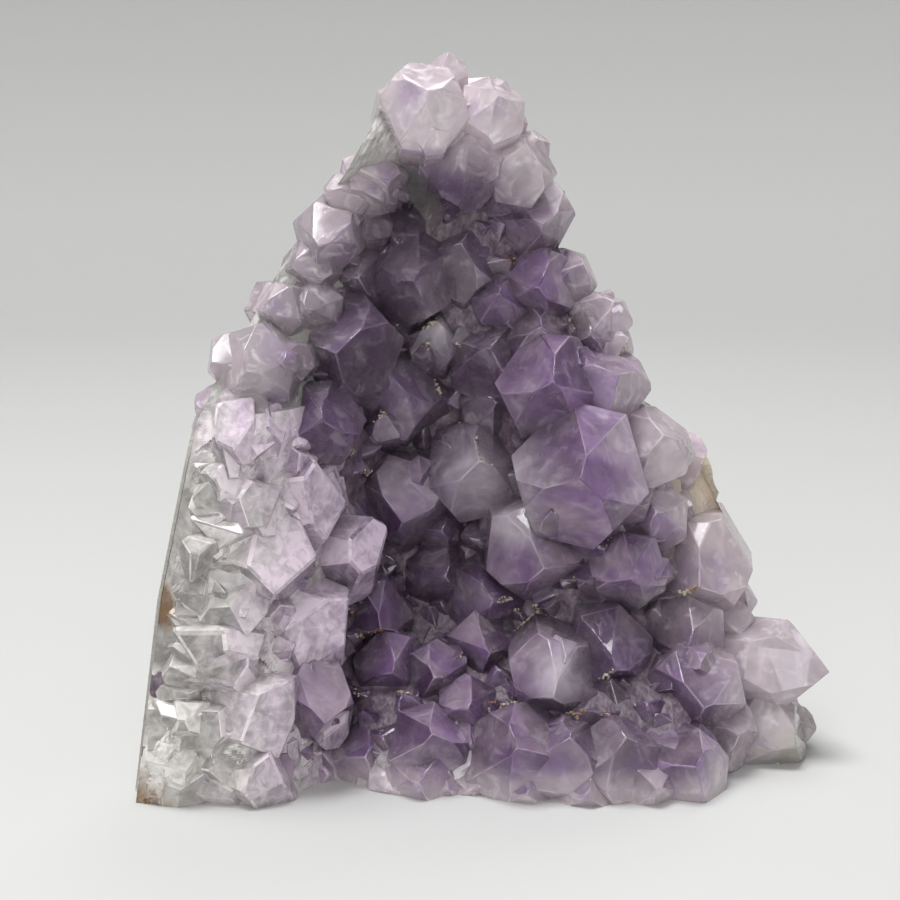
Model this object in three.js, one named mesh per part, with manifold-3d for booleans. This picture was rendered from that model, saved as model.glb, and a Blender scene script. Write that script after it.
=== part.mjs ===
// Amethyst geode: a broken piece of a geode's wall, standing on its sawn foot.
// Two pieces that would part on a bench: the druse, which is the quartz bed with every crystal that
// grew from it, and the skin of host rock that still clings to the back of the bed.
// Millimetres, +X to the right, +Y to the back, +Z up. The origin is the middle of the whole piece
// at the level of the sawn foot.
import * as THREE from 'three';
import { ConvexGeometry } from 'three/addons/geometries/ConvexGeometry.js';
import { mergeVertices } from 'three/addons/utils/BufferGeometryUtils.js';
import { SimplexNoise } from 'three/addons/math/SimplexNoise.js';
import Module from 'manifold-3d';

// Driving dimensions
const BED_TOP = 105;              // height of the quartz bed, crystals left out
const LEFT_RIM_Y = -20;           // the left wall curls forward to here
const UPPER_RIM_Y = -2;           // above its shoulder the left wall stands no further out than this
const RIGHT_RIM_Y = 6;            // the right side leans away to here
const BACK_BULGE = 30;            // how far the back swells behind the rim, at the foot
const TOP_BULGE = 11;             // and at the top
const RIND = 2.4;                 // thickness of the host rock
const RIND_SHARE = 0.8;           // how much of the bed's back it still covers, from the left
const RIND_TONGUE = 0.16;         // it reaches this much further at the foot and on one patch above
const RIND_BARE_TOP = 0.2;        // and leaves this much bare at the upper left
const GAP = 0.3;                  // between the host rock and the bed
const RIM = 14;                   // the right and top rims curve back over this breadth
const BED_COLUMNS = 13;
const BED_ROWS = 12;
// from a quartz crystal's axis to the normal of its end faces
const PYRAMID_SLOPE = THREE.MathUtils.degToRad(51.8);
const FILL_SPACING = 8.6;         // between the small crystals that close up the bed
const GOLDEN_ANGLE = Math.PI * (3 - Math.sqrt(5));   // spreads faces evenly round a block
const MIDDLE = { across: 1, deep: 1.5 };   // of the whole piece, measured from where the bed is drawn
const SEED = 7;

// The bed's left and right edges, each from the foot to the top, as [across, up]
const LEFT_EDGE = [[-51, 0], [-47, 30], [-41, 58], [-30, 78], [-19, 94], [-13, BED_TOP]];
const RIGHT_EDGE = [[46, 0], [45, 20], [40, 38], [34, 50], [26, 57], [15, 76], [9, 93], [4, BED_TOP]];

// The crystals that give the geode its look, each as
// [across, up, width, reach in front of the bed, turn to the right, rise above level], mm and degrees
const CROWN = [
  [-8, 102, 13, 13, 5, 18], [2, 101, 10, 10, 10, 25], [-4, 107, 6, 5, 0, 60], [6, 93, 12, 9, 15, 30],
  [-2, 93, 11, 8, -5, -35], [-16, 93, 8, 3, -30, 15],
  [-8, 97, 14, 20, 175, 30], [1, 97, 13, 19, 190, 25],
];
const UPPER_LEFT = [
  [-17, 91, 9, 5, -20, 0], [-22, 84, 10, 8, -12, -10], [-17, 84, 9, 4, 10, 0], [-21, 90, 7, 3, -35, 15],
  [-26, 79, 8, 4, -25, 5], [-30, 73, 8, 4, -30, 5], [-25, 73, 9, 5, -5, 5], [-12, 82, 10, 4, 5, 0],
  [-18, 77, 11, 4, 5, 5],
];
const MIDDLE_LEFT = [
  [-21, 66, 17, 9, 0, 5], [-32, 65, 12, 8, -10, 5], [-37, 66, 8, 4, -30, 5], [-24, 56, 13, 8, 10, 10],
  [-13, 58, 14, 10, 0, 25], [-12, 69, 9, 3, 0, 0], [-37, 57, 11, 3, -10, 0],
];
const HEART = [
  [-10, 76, 14, 10, 5, 5], [-2, 80, 11, 5, 0, 30], [-6, 67, 9, 5, 5, 40], [3, 64, 14, 7, -5, 20],
  [-6, 57, 10, 4, 15, 10], [3, 56, 10, 4, 10, 20], [1, 46, 15, 11, 0, 15], [-12, 41, 15, 12, 5, -10],
  [5, 38, 9, 4, -5, 30], [-5, 36, 11, 6, 0, 0], [-5, 28, 12, 7, 5, 10], [3, 25, 14, 8, 0, 10],
  [24, 32, 12, 9, 0, 0], [4, 73, 9, 5, 0, 20],
];
const UPPER_RIGHT = [
  [9, 85, 12, 9, 10, 0], [10, 75, 12, 8, 0, 5], [15, 76, 9, 6, 25, 30], [20, 70, 9, 6, 20, 35],
  [22, 66, 8, 4, 35, 20], [18, 67, 7, 4, 0, 15], [12, 60, 15, 10, 0, 15], [10, 68, 10, 5, 5, 20],
];
const RIGHT_SLOPE = [
  [20, 59, 13, 9, 15, 25], [27, 50, 13, 9, 15, 25], [34, 47, 10, 4, 40, 10], [17, 47, 20, 14, -5, 8],
  [10, 34, 16, 10, 5, -5], [36, 30, 16, 11, -5, -5], [28, 40, 11, 5, 0, 15], [21, 31, 11, 6, 0, 10],
  [33, 20, 13, 7, 0, 0], [35, 13, 14, 8, 0, 0], [41, 20, 9, 5, 15, 0], [42, 25, 9, 4, 20, 35],
  [44, 14, 15, 15, 55, 3], [46, 7, 8, 8, 65, 0],
];
const LOWER = [
  [12, 16, 13, 11, 0, -5], [21, 19, 13, 9, 5, -5], [-6, 15, 11, 7, 0, 10], [-13, 16, 11, 7, 5, 5],
  [-16, 24, 11, 9, 10, -10], [-25, 15, 11, 11, 15, -15], [-1, 11, 10, 5, 0, 20], [2, 18, 11, 6, 5, 10],
];
const FOOT = [
  [-7, 7, 12, 7, 5, 30], [7, 6, 15, 9, -5, 25], [14, 6, 12, 8, 0, 40], [22, 6, 13, 8, 5, 40],
  [-23, 4, 10, 5, 0, 15], [-17, 4, 10, 5, 5, 15], [-8, 2, 12, 6, -5, 15], [8, 1, 10, 6, 0, 10],
  [17, 1, 11, 7, 0, 5], [26, 2, 11, 7, 10, 10], [32, 4, 14, 7, 10, 20], [39, 6, 12, 6, 20, 15],
  [45, 4, 12, 13, 25, 0], [49, 3, 8, 9, 40, 5], [-32, 5, 10, 4, 5, 20], [-41, 4, 10, 3, -5, 10],
];
const MAIN_CRYSTALS = [
  ...CROWN, ...UPPER_LEFT, ...MIDDLE_LEFT, ...HEART, ...UPPER_RIGHT, ...RIGHT_SLOPE, ...LOWER, ...FOOT,
];

// The left shoulder, where the wall is broken through and shows its massive quartz
const SHOULDER = { right: -24, top: 56, blocks: 18, blockFaces: 14, blockWidth: 16 };

// The largest splinters of that quartz, each as
// [across, deep, up, width, length, turn to the right, rise above level], mm and degrees
const LARGE_SPLINTERS = [
  [-15, -9, 33, 13, 18, 60, -12], [-21, -15, 23, 13, 16, 60, -20],
  [-20, -16, 11, 9, 12, 50, -10], [-28, -24, 13, 12, 13, 66, -8], [-29, -25, 4, 10, 10, 50, 5],
  [-20, -14, 45, 13, 18, 62, 8], [-25, -20, 37, 14, 17, 66, 0], [-33, -22, 50, 10, 9, 50, 10],
  [-33, -24, 22, 11, 13, 72, -12], [-36, -24, 11, 10, 11, 70, 6],
];

const wasm = await Module();
wasm.setup();
const noise = new SimplexNoise({ random: seededRandom(SEED) });

function seededRandom(seed) {
  let state = seed;
  return () => {
    state = (state + 0x6D2B79F5) | 0;
    let mixed = Math.imul(state ^ (state >>> 15), 1 | state);
    mixed = (mixed + Math.imul(mixed ^ (mixed >>> 7), 61 | mixed)) ^ mixed;
    return ((mixed ^ (mixed >>> 14)) >>> 0) / 4294967296;
  };
}

// 1 up to `full`, easing to 0 at `none`
function fade(value, full, none) {
  return 1 - THREE.MathUtils.smoothstep(value, full, none);
}

function hump(value, middle, reach) {
  return Math.exp(-(((value - middle) / reach) ** 2));
}

// Where an edge of the bed lies at height z
function edgeAt(edge, z) {
  const height = THREE.MathUtils.clamp(z, 0, BED_TOP);
  const next = Math.max(1, edge.findIndex(([, up]) => up >= height));
  const [x0, z0] = edge[next - 1];
  const [x1, z1] = edge[next];
  return THREE.MathUtils.lerp(x0, x1, (height - z0) / (z1 - z0));
}

// The crystals' side of the bed: the left wall and the foot curl forward round a deep pocket
function bedFront(x, z) {
  const wall = 23 * fade(x, -34, -11) * fade(z, 54, 86);
  const upperWall = 7 * fade(x, -30, -8) * THREE.MathUtils.smoothstep(z, 54, 86);
  const foot = 22 * fade(z, 4, 26) * (1 - 0.6 * hump(x, -22, 6)) * fade(x, 30, 52);
  const swell = 9 * hump(x, 19, 14) * hump(z, 48, 28);
  const pocket = 8 * hump(x, -6, 13) * hump(z, 40, 30);
  const crown = 8 * THREE.MathUtils.smoothstep(z, 86, 100) - 7 * hump(x, -10, 5) * hump(z, 88, 6);
  const overlap = Math.min(wall, foot) * 0.9;
  const inFromRim = Math.min(edgeAt(RIGHT_EDGE, z) - x, BED_TOP + 4 - z);
  const rim = 7 * fade(inFromRim, 0, RIM);
  return 2 - wall - upperWall - foot + overlap - swell + pocket - crown + rim;
}

// The outside of the bed, a rounded back that runs into the rim at both edges
function bedBack(x, z) {
  const left = edgeAt(LEFT_EDGE, z);
  const right = edgeAt(RIGHT_EDGE, z);
  const across = THREE.MathUtils.clamp((2 * x - left - right) / (right - left), -1, 1);
  const height = THREE.MathUtils.clamp(z / BED_TOP, 0, 1);
  const leftRim = THREE.MathUtils.lerp(UPPER_RIM_Y, LEFT_RIM_Y, fade(z, 50, 84));
  const rimY = THREE.MathUtils.lerp(leftRim, RIGHT_RIM_Y, (across + 1) / 2);
  const bulge = THREE.MathUtils.lerp(BACK_BULGE, TOP_BULGE, height ** 1.4);
  return rimY + bulge * Math.sqrt(1 - across ** 2) + 2;
}

function bedNormal(x, z) {
  const slopeX = (bedFront(x + 2, z) - bedFront(x - 2, z)) / 4;
  const slopeZ = (bedFront(x, z + 2) - bedFront(x, z - 2)) / 4;
  return new THREE.Vector3(slopeX, -1, slopeZ).normalize();
}

function toSolid(geometry) {
  const bare = new THREE.BufferGeometry();
  bare.setAttribute('position', geometry.getAttribute('position'));
  if (geometry.index) bare.setIndex(geometry.index);
  const merged = mergeVertices(bare, 1e-4);
  return new wasm.Manifold(new wasm.Mesh({
    numProp: 3,
    vertProperties: new Float32Array(merged.getAttribute('position').array),
    triVerts: new Uint32Array(merged.index.array),
  }));
}

// A slab bent to the bed: place(across, up, side) gives each point, side 0 in front and 1 behind
function bentSlab(columns, rows, place) {
  const geometry = new THREE.BoxGeometry(1, 1, 1, columns, 1, rows);
  const position = geometry.getAttribute('position');
  for (let i = 0; i < position.count; i += 1) {
    const point = place(position.getX(i) + 0.5, position.getZ(i) + 0.5, position.getY(i) + 0.5);
    position.setXYZ(i, point.x, point.y, point.z);
  }
  return toSolid(geometry);
}

// Points across the bed crowd towards its edges, where the back turns fastest
function acrossAt(share, z) {
  const eased = (1 - Math.cos(Math.PI * share)) / 2;
  return THREE.MathUtils.lerp(edgeAt(LEFT_EDGE, z), edgeAt(RIGHT_EDGE, z), eased);
}

function makeBed() {
  return bentSlab(BED_COLUMNS, BED_ROWS, (share, height, side) => {
    const z = height * BED_TOP;
    const x = acrossAt(share, z);
    if (side > 0.5) return new THREE.Vector3(x, bedBack(x, z), z);
    const front = bedFront(x, z) + noise.noise(x / 6, z / 6) * 1.2;
    return new THREE.Vector3(x, Math.min(front, bedBack(x, z) - 2), z);
  });
}

function rindReach(z) {
  return RIND_SHARE + RIND_TONGUE * Math.max(fade(z, 8, 24), hump(z, 50, 9));
}

// The host rock follows the back of the bed and stops a little short of its top and right rims
function makeRindBlank() {
  return bentSlab(BED_COLUMNS, BED_ROWS, (share, height, side) => {
    const z = height * BED_TOP * 0.92;
    const from = RIND_BARE_TOP * THREE.MathUtils.smoothstep(z, 52, 80);
    const x = acrossAt(THREE.MathUtils.lerp(from, rindReach(z), share), z);
    const slopeX = (bedBack(x + 0.2, z) - bedBack(x - 0.2, z)) / 0.4;
    const slopeZ = (bedBack(x, z + 1) - bedBack(x, z - 1)) / 2;
    const outward = new THREE.Vector3(-slopeX, 1, -slopeZ).normalize();
    const roughness = 1 + 0.45 * noise.noise(x / 11, z / 11);
    const edge = THREE.MathUtils.lerp(0.45, 1, THREE.MathUtils.smoothstep(share, 0, 0.3));
    const offset = side > 0.5 ? GAP + RIND * roughness * edge : -4;
    return new THREE.Vector3(x, bedBack(x, z), z).addScaledVector(outward, offset);
  });
}

// A convex body from planes, each as a normal and its distance from the origin
function bodyFromPlanes(planes) {
  const corners = [];
  const matrix = new THREE.Matrix3();
  for (let a = 0; a < planes.length; a += 1) {
    for (let b = a + 1; b < planes.length; b += 1) {
      for (let c = b + 1; c < planes.length; c += 1) {
        const [p, q, r] = [planes[a], planes[b], planes[c]];
        matrix.set(...p.normal, ...q.normal, ...r.normal);
        if (Math.abs(matrix.determinant()) < 1e-3) continue;
        const corner = new THREE.Vector3(p.distance, q.distance, r.distance).applyMatrix3(matrix.invert());
        if (planes.every((plane) => plane.normal.dot(corner) <= plane.distance + 1e-6)) corners.push(corner);
      }
    }
  }
  return new ConvexGeometry(corners);
}

// One quartz crystal: six sides and six end faces, three of them leading, tip at the local origin
function crystalGeometry(width, length, grow, random) {
  const planes = [];
  const apothem = width / 2;
  for (let i = 0; i < 6; i += 1) {
    const turn = (i * Math.PI) / 3;
    const side = new THREE.Vector3(Math.cos(turn), Math.sin(turn), 0);
    planes.push({ normal: side, distance: apothem * (0.88 + 0.24 * random()) + grow });
    const end = side.clone().multiplyScalar(Math.sin(PYRAMID_SLOPE));
    end.z = Math.cos(PYRAMID_SLOPE);
    const setBack = i % 2 ? 0.05 + 0.2 * random() : -0.04 * random();
    planes.push({ normal: end.normalize(), distance: apothem * setBack + grow });
  }
  planes.push({ normal: new THREE.Vector3(0, 0, -1), distance: length + grow });
  return bodyFromPlanes(planes);
}

function facing(turn, rise) {
  const around = THREE.MathUtils.degToRad(turn);
  const above = THREE.MathUtils.degToRad(rise);
  const level = Math.cos(above);
  return new THREE.Vector3(level * Math.sin(around), -level * Math.cos(around), Math.sin(above));
}

// A crystal or splinter set in place by its tip and the way it points
function setDown(geometry, tip, axis, twist) {
  geometry.rotateZ(twist);
  geometry.applyQuaternion(new THREE.Quaternion().setFromUnitVectors(new THREE.Vector3(0, 0, 1), axis));
  geometry.translate(tip.x, tip.y, tip.z);
  return toSolid(geometry);
}

function placeCrystal([across, up, width, reach], axis, grow, random) {
  const twist = random() * Math.PI;
  const root = new THREE.Vector3(across, bedFront(across, up), up);
  const tip = root.clone().addScaledVector(axis, reach);
  const room = Math.max(bedBack(across, up) - root.y - 3 - width / 4, 1);
  const embedded = axis.y < 0 ? Math.min(width * 0.6, room) : -width / 3;
  const length = reach + embedded;
  return setDown(crystalGeometry(width, length, grow, random), tip, axis, twist);
}

// Small crystals close up the bed wherever the main ones leave it bare
function fillSpots() {
  const random = seededRandom(SEED + 1);
  const spots = [];
  for (let z = 4; z < BED_TOP - 2; z += FILL_SPACING * 0.87) {
    for (let x = edgeAt(LEFT_EDGE, z); x < edgeAt(RIGHT_EDGE, z); x += FILL_SPACING) {
      const across = x + (random() - 0.5) * FILL_SPACING * 0.7;
      const up = z + (random() - 0.5) * FILL_SPACING * 0.7;
      const width = 9 + 3 * random();
      const onShoulder = across < SHOULDER.right - 2 && up < SHOULDER.top - 4;
      const taken = MAIN_CRYSTALS.some(([mainAcross, mainUp, mainWidth]) =>
        Math.hypot(across - mainAcross, up - mainUp) < 0.4 * mainWidth + 0.1 * width);
      if (!onShoulder && !taken) spots.push([across, up, width, 2.5 + 2 * random()]);
    }
  }
  return spots;
}

// Every crystal of the druse; grow makes each one larger by that much all round
function makeCrystals(grow) {
  const random = seededRandom(SEED + 2);
  const main = MAIN_CRYSTALS.map((crystal) => {
    const [, , , , turn, rise] = crystal;
    return placeCrystal(crystal, facing(turn, rise), grow, random);
  });
  const fill = fillSpots().map((spot) => {
    const axis = bedNormal(spot[0], spot[1]);
    axis.x += (random() - 0.5) * 0.7;
    axis.z += (random() - 0.3) * 0.7;
    return placeCrystal(spot, axis.normalize(), grow, random);
  });
  return [...main, ...fill];
}

// Broken blocks of massive quartz on the shoulder, each split along a few flat faces
function makeShoulderBlocks() {
  const random = seededRandom(SEED + 3);
  return Array.from({ length: SHOULDER.blocks }, () => {
    const up = random() * SHOULDER.top;
    const left = edgeAt(LEFT_EDGE, up) + SHOULDER.blockWidth / 2;
    const across = THREE.MathUtils.lerp(left, SHOULDER.right - 3, random());
    const half = SHOULDER.blockWidth * (0.3 + 0.3 * random());
    const planes = Array.from({ length: SHOULDER.blockFaces }, (_, face) => {
      const level = 1 - (2 * face + 1) / SHOULDER.blockFaces;
      const normal = new THREE.Vector3().setFromSphericalCoords(
        1, Math.acos(level), GOLDEN_ANGLE * face + random());
      return { normal, distance: half * (0.7 + 0.35 * random()) };
    });
    const geometry = bodyFromPlanes(planes);
    geometry.scale(1, 0.7, 1);
    geometry.translate(across, bedFront(across, up) + half * 0.3, up);
    return toSolid(geometry);
  });
}

function makeSplinters() {
  const random = seededRandom(SEED + 4);
  return LARGE_SPLINTERS.map(([across, deep, up, width, length, turn, rise]) => {
    const splinter = crystalGeometry(width, length, 0, random);
    return setDown(splinter, new THREE.Vector3(across, deep, up), facing(turn, rise), random() * Math.PI);
  });
}

// Everything below the saw cut, removed from each piece
function belowFoot() {
  const block = new THREE.BoxGeometry(400, 400, 100);
  block.translate(0, 0, -50);
  return toSolid(block);
}

function largestPiece(solid) {
  const pieces = solid.decompose();
  return pieces.reduce((best, piece) => (piece.volume() > best.volume() ? piece : best));
}

function toMesh(solid, name, material) {
  const { vertProperties, triVerts } = solid.getMesh();
  const geometry = new THREE.BufferGeometry();
  geometry.setAttribute('position', new THREE.BufferAttribute(vertProperties, 3));
  geometry.setIndex(new THREE.BufferAttribute(triVerts, 1));
  geometry.computeVertexNormals();
  const mesh = new THREE.Mesh(geometry, material);
  mesh.name = name;
  return mesh;
}

const sawCut = belowFoot();
const bed = makeBed();
const blocks = [...makeShoulderBlocks(), ...makeSplinters()];
const druse = [...makeCrystals(0), ...blocks].reduce((whole, next) => whole.add(next), bed);
const clearance = [...makeCrystals(GAP), ...blocks].reduce((whole, next) => whole.add(next), bed);
const druseCut = largestPiece(druse.subtract(sawCut));
const rindCut = largestPiece(makeRindBlank().subtract(clearance).subtract(sawCut));

const amethyst = new THREE.MeshStandardMaterial({ color: 0x8a749c, roughness: 0.15, metalness: 0 });
const hostRock = new THREE.MeshStandardMaterial({ color: 0xa39a8a, roughness: 0.9, metalness: 0 });

const geode = new THREE.Group();
geode.add(toMesh(druseCut, 'amethyst_druse', amethyst));
geode.add(toMesh(rindCut, 'host_rock_rind', hostRock));

geode.position.set(-MIDDLE.across, -MIDDLE.deep, 0);

export default geode;
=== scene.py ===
import math
import random
from itertools import combinations

import bmesh
import bpy
import numpy as np
from mathutils import Matrix, Vector, noise
from mathutils.bvhtree import BVHTree


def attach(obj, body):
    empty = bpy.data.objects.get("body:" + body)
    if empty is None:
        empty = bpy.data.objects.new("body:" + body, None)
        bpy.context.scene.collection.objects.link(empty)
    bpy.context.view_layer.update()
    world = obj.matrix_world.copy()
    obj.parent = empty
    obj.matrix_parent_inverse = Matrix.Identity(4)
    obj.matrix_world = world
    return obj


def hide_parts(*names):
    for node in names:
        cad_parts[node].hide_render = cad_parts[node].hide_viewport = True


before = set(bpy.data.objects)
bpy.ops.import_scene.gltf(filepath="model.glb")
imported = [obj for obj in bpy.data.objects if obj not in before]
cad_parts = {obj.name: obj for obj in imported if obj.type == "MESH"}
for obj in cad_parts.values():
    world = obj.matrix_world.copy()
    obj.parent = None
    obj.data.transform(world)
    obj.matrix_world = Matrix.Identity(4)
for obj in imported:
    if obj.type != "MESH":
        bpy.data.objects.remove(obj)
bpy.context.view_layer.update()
MM = 0.001

# ---------------------------------------------------------------------------------------------------
# The table and the light. The geode stands on a pale paper sweep that rises all round it, under one
# large soft panel above and to the left, with a faint one behind that lights the rims, and one of half
# the strength in front that opens the shadows of the pocket.

scene = bpy.context.scene
scene.view_settings.view_transform = "Standard"


def link_mesh(name, mesh):
    piece = bpy.data.objects.new(name, mesh)
    scene.collection.objects.link(piece)
    return piece


class Socket:
    """A shader socket, or a plain number, that takes part in Python sums."""

    def __init__(self, finish, source):
        self.finish = finish
        self.source = source

    def other(self, index):
        """Another output of the node that this one comes from."""
        return Socket(self.finish, self.source.node.outputs[index])

    def math(self, operation, *others):
        inputs = dict(enumerate((self, *others)))
        return self.finish.node("ShaderNodeMath", {"operation": operation}, inputs)

    def vector(self, operation, other, out=0):
        inputs = {0: self, 1: other}
        return self.finish.node("ShaderNodeVectorMath", {"operation": operation}, inputs, out)

    def __add__(self, other):
        return self.math("ADD", other)

    def __sub__(self, other):
        return self.math("SUBTRACT", other)

    def __mul__(self, other):
        return self.math("MULTIPLY", other)

    def __rsub__(self, other):
        return Socket(self.finish, other).math("SUBTRACT", self)

    __radd__ = __add__
    __rmul__ = __mul__

    def clipped(self):
        """The value kept between 0 and 1."""
        return self.math("MINIMUM", 1.0).math("MAXIMUM", 0.0)

    def ramp(self, low, high):
        """0 at low, 1 at high, straight between them."""
        return ((self - low) * (1.0 / (high - low))).clipped()

    def hump(self, middle, reach):
        """1 at the middle, fading smoothly over the reach on both sides."""
        off = (self - middle) * (1.0 / reach)
        return Socket(self.finish, math.e).math("POWER", off * off * -1.0)


class Finish:
    """One material's node tree."""

    def __init__(self, name):
        self.material = bpy.data.materials.new(name)
        self.material.use_nodes = True
        self.nodes = self.material.node_tree.nodes
        self.links = self.material.node_tree.links
        self.nodes.clear()
        self.output = self.nodes.new("ShaderNodeOutputMaterial")

    def node(self, kind, settings, inputs, out=0):
        made = self.nodes.new(kind)
        for name, value in settings.items():
            setattr(made, name, value)
        for key, value in inputs.items():
            value = value.source if isinstance(value, Socket) else value
            if isinstance(value, bpy.types.NodeSocket):
                self.links.new(value, made.inputs[key])
            else:
                made.inputs[key].default_value = value
        return Socket(self, made.outputs[out])

    def place(self):
        """Where a point is on the piece, in metres, as a vector and as its three numbers."""
        where = self.node("ShaderNodeTexCoord", {}, {}, "Object")
        across = self.node("ShaderNodeSeparateXYZ", {}, {0: where})
        return where, across, across.other(1), across.other(2)

    def cloud(self, where, size, detail=3.0, roughness=0.55, distortion=0.0):
        """Soft noise from 0 to 1, its lumps about `size` millimetres across."""
        inputs = {"Vector": where, "Scale": 1000.0 / size, "Detail": detail}
        inputs.update({"Roughness": roughness, "Distortion": distortion})
        return self.node("ShaderNodeTexNoise", {}, inputs)

    def blend(self, share, first, second):
        """Two colours mixed by a share from 0 to 1."""
        full = [(*colour, 1.0) if isinstance(colour, tuple) else colour for colour in (first, second)]
        return self.node("ShaderNodeMix", {"data_type": "RGBA"}, {0: share, 6: full[0], 7: full[1]}, 2)

    def facing(self):
        """The way a face looks, as a vector."""
        return self.node("ShaderNodeNewGeometry", {}, {}, "Normal")

    def off_face(self, where, away):
        """The place some millimetres straight off the face, so that faces that meet differ in pattern."""
        step = away * MM
        return where.vector("ADD", self.facing().vector("MULTIPLY", (step, step, step)))

    def stored(self, name):
        """A number that the piece stores at each corner."""
        return self.node("ShaderNodeAttribute", {"attribute_name": name}, {}, "Fac")

    def mapped(self, name):
        """The first number of one of the piece's own maps."""
        pair = self.node("ShaderNodeUVMap", {"uv_map": name}, {})
        return self.node("ShaderNodeSeparateXYZ", {}, {0: pair})

    def bump(self, height, strength, distance):
        inputs = {"Height": height, "Strength": strength, "Distance": distance}
        return self.node("ShaderNodeBump", {}, inputs)

    def principled(self, inputs):
        return self.node("ShaderNodeBsdfPrincipled", {}, inputs)

    def surface(self, shader):
        self.links.new(shader.source, self.output.inputs["Surface"])
        return self.material


def make_sweep():
    flat, curve, top = 0.55, 0.45, 1.1
    bends, turns = 12, 96
    profile = [(0.0, 0.0), (flat, 0.0)]
    for step in range(1, bends + 1):
        turn = math.radians(90 * step / bends)
        profile.append((flat + curve * math.sin(turn), curve * (1 - math.cos(turn))))
    profile.append((flat + curve, top))
    bm = bmesh.new()
    corners = [bm.verts.new((across, 0, up)) for across, up in profile]
    edges = [bm.edges.new(pair) for pair in zip(corners, corners[1:])]
    bmesh.ops.spin(bm, geom=corners + edges, cent=(0, 0, 0), axis=(0, 0, 1), angle=2 * math.pi, steps=turns)
    bmesh.ops.remove_doubles(bm, verts=bm.verts, dist=1e-5)
    bmesh.ops.recalc_face_normals(bm, faces=bm.faces)
    bmesh.ops.reverse_faces(bm, faces=bm.faces)
    for face in bm.faces:
        face.smooth = True
    mesh = bpy.data.meshes.new("paper_sweep")
    bm.to_mesh(mesh)
    bm.free()
    return link_mesh("paper_sweep", mesh)


paper = Finish("sweep_paper")
_, _, _, paper_height = paper.place()
# Painted shade: the paper is darker higher up the sweep, standing in for the wall getting less light there.
paper_with_painted_shade = paper.blend(paper_height.ramp(0.03, 0.36), (0.60, 0.60, 0.59), (0.25, 0.25, 0.242))
sweep = make_sweep()
sweep.data.materials.append(paper.surface(paper.principled({"Base Color": paper_with_painted_shade, "Roughness": 0.9})))


def soft_panel(name, place, size, power):
    light = bpy.data.lights.new(name, "AREA")
    light.shape = "DISK"
    light.size = size
    light.energy = power
    lamp = bpy.data.objects.new(name, light)
    lamp.location = place
    lamp.rotation_euler = (Vector((0, 0, 0.05)) - Vector(place)).to_track_quat("-Z", "Y").to_euler()
    scene.collection.objects.link(lamp)


soft_panel("panel_above", (-0.16, -0.10, 0.92), 0.55, 7.2)
soft_panel("panel_behind", (0.15, 0.60, 0.95), 0.5, 1.8)
soft_panel("panel_front", (-0.06, -0.85, 0.45), 0.6, 3.4)

room = bpy.data.worlds.new("room")
scene.world = room
room.use_nodes = True
room.node_tree.nodes["Background"].inputs["Color"].default_value = (0.95, 0.97, 1.0, 1.0)
room.node_tree.nodes["Background"].inputs["Strength"].default_value = 0.55

CAMERA_AIM = Vector((-4.7, 0.0, 49.5)) * MM
CAMERA_RISE = math.radians(10)
CAMERA_AWAY = 400 * MM
camera = bpy.data.objects.new("camera", bpy.data.cameras.new("camera"))
camera.data.lens = 102
camera.data.clip_start = 0.01
camera.location = CAMERA_AIM + CAMERA_AWAY * Vector((0, -math.cos(CAMERA_RISE), math.sin(CAMERA_RISE)))
camera.rotation_euler = (CAMERA_AIM - camera.location).to_track_quat("-Z", "Y").to_euler()
scene.collection.objects.link(camera)
scene.camera = camera

# ---------------------------------------------------------------------------------------------------
# The quartz bed: milky quartz that the crystals root in. It was laid down on the wall of the hollow,
# curls forward at the left and at the foot, and is sawn flat below.

MIDDLE = Vector((1.0, 1.5, 0.0))    # of the whole piece, measured from where the bed is drawn
BED_TOP = 105
LEFT_EDGE = [(-51, 0), (-47, 30), (-41, 58), (-30, 78), (-19, 94), (-13, BED_TOP)]
RIGHT_EDGE = [(46, 0), (45, 20), (40, 38), (34, 50), (26, 57), (15, 76), (9, 93), (4, BED_TOP)]
LEFT_RIM_Y, UPPER_RIM_Y, RIGHT_RIM_Y = -20, -2, 6
BACK_BULGE, TOP_BULGE = 30, 11
RIM = 14
QUARTZ_IOR = 1.544


def smooth_rise(value, low, high):
    share = min(1.0, max(0.0, (value - low) / (high - low)))
    return share * share * (3 - 2 * share)


def fade(value, full, none):
    return 1 - smooth_rise(value, full, none)


def hump(value, middle, reach):
    return math.exp(-((value - middle) / reach) ** 2)


def between(first, second, share):
    return first + (second - first) * share


def edge_at(edge, z):
    return float(np.interp(z, [up for _, up in edge], [across for across, _ in edge]))


def bed_front(x, z):
    wall = 23 * fade(x, -34, -11) * fade(z, 54, 86)
    upper_wall = 7 * fade(x, -30, -8) * smooth_rise(z, 54, 86)
    foot = 22 * fade(z, 4, 26) * (1 - 0.6 * hump(x, -22, 6)) * fade(x, 30, 52)
    swell = 9 * hump(x, 19, 14) * hump(z, 48, 28)
    pocket = 8 * hump(x, -6, 13) * hump(z, 40, 30)
    crown = 8 * smooth_rise(z, 86, 100) - 7 * hump(x, -10, 5) * hump(z, 88, 6)
    rim = 7 * fade(min(edge_at(RIGHT_EDGE, z) - x, BED_TOP + 4 - z), 0, RIM)
    return 2 - wall - upper_wall - foot + min(wall, foot) * 0.9 - swell + pocket - crown + rim


def bed_back(x, z):
    left, right = edge_at(LEFT_EDGE, z), edge_at(RIGHT_EDGE, z)
    across = min(1.0, max(-1.0, (2 * x - left - right) / (right - left)))
    height = min(1.0, max(0.0, z / BED_TOP))
    left_rim = between(UPPER_RIM_Y, LEFT_RIM_Y, fade(z, 50, 84))
    rim_y = between(left_rim, RIGHT_RIM_Y, (across + 1) / 2)
    return rim_y + between(BACK_BULGE, TOP_BULGE, height ** 1.4) * math.sqrt(1 - across ** 2) + 2


def across_at(share, z):
    eased = (1 - math.cos(math.pi * share)) / 2
    return between(edge_at(LEFT_EDGE, z), edge_at(RIGHT_EDGE, z), eased)


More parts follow.
